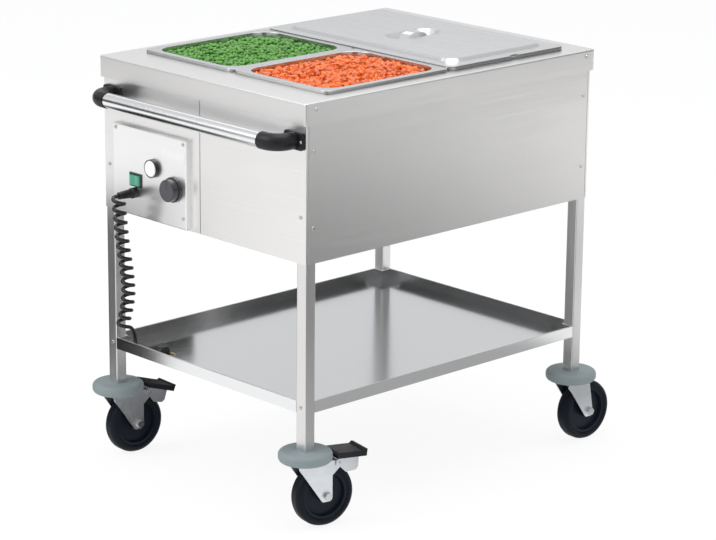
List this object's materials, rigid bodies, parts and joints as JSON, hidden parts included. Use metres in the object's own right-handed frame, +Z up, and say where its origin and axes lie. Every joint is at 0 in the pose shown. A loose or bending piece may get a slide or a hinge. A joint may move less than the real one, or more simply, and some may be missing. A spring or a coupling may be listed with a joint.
{
  "type": "heated serving trolley",
  "caption": "Heated stainless trolley with a pan well, lift-out pans and lid, control box with curly cord, lower tray, push handle and swivel casters, two with brakes.",
  "frame": {"origin": "on the floor under the middle of the box around the trolley, its cord and plug not counted", "axes": "+Z up, +X along the casing towards the plain end, away from the push handle; -Y is the long side nearest the picture's view"},
  "size_m": [0.9354, 0.6646, 0.8466],
  "materials": {
    "stainless": "satin",
    "fastener": "satin",
    "element": "matt",
    "black_plastic": "satin",
    "white_plastic": "gloss",
    "green_plastic": "gloss",
    "black_rubber": "satin",
    "grey_rubber": "matt",
    "brass_pins": "polished",
    "zinc": "bright zinc",
    "tyre": "satin",
    "hub": "satin",
    "food_green": "wet",
    "food_orange": "wet"
  },
  "bodies": {
    "trolley": {"worktop": "stainless", "near_side_panel": "stainless", "far_side_panel": "stainless", "plain_end_panel": "stainless", "control_end_panel": "stainless", "service_end_panel": "stainless", "bottom_panel": "stainless", "casing_screws": "fastener", "leg_handle_near": "stainless", "leg_handle_far": "stainless", "leg_plain_near": "stainless", "leg_plain_far": "stainless", "lower_tray": "stainless", "basin": "stainless", "pan_bars": "stainless", "heating_element": "element", "handle_tube": "stainless", "handle_bracket_near": "black_plastic", "handle_bracket_far": "black_plastic", "control_box": "stainless", "thermostat": "black_plastic", "lamp_bezel": "black_plastic", "lamp_lens": "white_plastic", "switch_bezel": "black_plastic", "cable_gland": "black_plastic", "cord_relief": "black_rubber", "curly_cord": "black_rubber", "plug": "black_rubber", "plug_pins": "brass_pins", "caster_stems": "zinc", "bumper_discs": "grey_rubber"},
    "knob": {"knob": "black_plastic"},
    "rocker": {"rocker": "green_plastic"},
    "half_pan_far": {"half_pan_far": "stainless", "peas": "food_green"},
    "half_pan_near": {"half_pan_near": "stainless", "carrots": "food_orange"},
    "full_pan": {"full_pan": "stainless"},
    "lid": {"lid": "stainless", "lid_handle": "stainless"},
    "swivel_handle_near": {"fork_handle_near": "zinc", "bolts_handle_near": "fastener"},
    "wheel_handle_near": {"tyre_handle_near": "tyre", "hub_handle_near": "hub"},
    "brake_handle_near": {"pedal_blade_handle_near": "zinc", "pedal_pad_handle_near": "black_plastic"},
    "swivel_handle_far": {"fork_handle_far": "zinc", "bolts_handle_far": "fastener"},
    "wheel_handle_far": {"tyre_handle_far": "tyre", "hub_handle_far": "hub"},
    "brake_handle_far": {"pedal_blade_handle_far": "zinc", "pedal_pad_handle_far": "black_plastic"},
    "swivel_plain_near": {"fork_plain_near": "zinc", "bolts_plain_near": "fastener"},
    "wheel_plain_near": {"tyre_plain_near": "tyre", "hub_plain_near": "hub"},
    "swivel_plain_far": {"fork_plain_far": "zinc", "bolts_plain_far": "fastener"},
    "wheel_plain_far": {"tyre_plain_far": "tyre", "hub_plain_far": "hub"}
  },
  "joints": [
    {"name": "half_pan_far_lift", "type": "slide", "parent": "trolley", "child": "half_pan_far", "axis": [0, 0, 1], "range_m": [0, 0.15]},
    {"name": "half_pan_near_lift", "type": "slide", "parent": "trolley", "child": "half_pan_near", "axis": [0, 0, 1], "range_m": [0, 0.15]},
    {"name": "full_pan_lift", "type": "slide", "parent": "trolley", "child": "full_pan", "axis": [0, 0, 1], "range_m": [0, 0.15]},
    {"name": "lid_lift", "type": "slide", "parent": "full_pan", "child": "lid", "axis": [0, 0, 1], "range_m": [0, 0.1]},
    {"name": "thermostat_turn", "type": "hinge", "parent": "trolley", "child": "knob", "pos_m": [-0.40727, 0.072, 0.599], "axis": [-1, 0, 0], "range_deg": [0, 270]},
    {"name": "switch_rock", "type": "hinge", "parent": "trolley", "child": "rocker", "pos_m": [-0.40227, 0.186, 0.597], "axis": [0, 0, 1], "range_deg": [-12, 0]},
    {"name": "swivel_handle_near", "type": "hinge", "parent": "trolley", "child": "swivel_handle_near", "pos_m": [-0.38357, -0.2803, 0.132], "axis": [0, 0, 1], "continuous": true},
    {"name": "roll_handle_near", "type": "hinge", "parent": "swivel_handle_near", "child": "wheel_handle_near", "pos_m": [-0.34738, -0.28799, 0.0625], "axis": [0.2079, 0.9781, 0], "continuous": true},
    {"name": "brake_handle_near", "type": "hinge", "parent": "swivel_handle_near", "child": "brake_handle_near", "pos_m": [-0.32293, -0.29319, 0.127], "axis": [0.2079, 0.9781, 0], "range_deg": [0, 14]},
    {"name": "swivel_handle_far", "type": "hinge", "parent": "trolley", "child": "swivel_handle_far", "pos_m": [-0.38357, 0.2803, 0.132], "axis": [0, 0, 1], "continuous": true},
    {"name": "roll_handle_far", "type": "hinge", "parent": "swivel_handle_far", "child": "wheel_handle_far", "pos_m": [-0.34666, 0.27772, 0.0625], "axis": [0.0698, 0.9976, 0], "continuous": true},
    {"name": "brake_handle_far", "type": "hinge", "parent": "swivel_handle_far", "child": "brake_handle_far", "pos_m": [-0.32172, 0.27598, 0.127], "axis": [0.0698, 0.9976, 0], "range_deg": [-14, 0]},
    {"name": "swivel_plain_near", "type": "hinge", "parent": "trolley", "child": "swivel_plain_near", "pos_m": [0.36103, -0.2803, 0.132], "axis": [0, 0, 1], "continuous": true},
    {"name": "roll_plain_near", "type": "hinge", "parent": "swivel_plain_near", "child": "wheel_plain_near", "pos_m": [0.39794, -0.28288, 0.0625], "axis": [0.0698, 0.9976, 0], "continuous": true},
    {"name": "swivel_plain_far", "type": "hinge", "parent": "trolley", "child": "swivel_plain_far", "pos_m": [0.36103, 0.2803, 0.132], "axis": [0, 0, 1], "continuous": true},
    {"name": "roll_plain_far", "type": "hinge", "parent": "swivel_plain_far", "child": "wheel_plain_far", "pos_m": [0.39767, 0.27515, 0.0625], "axis": [0.1392, 0.9903, 0], "continuous": true}
  ]
}
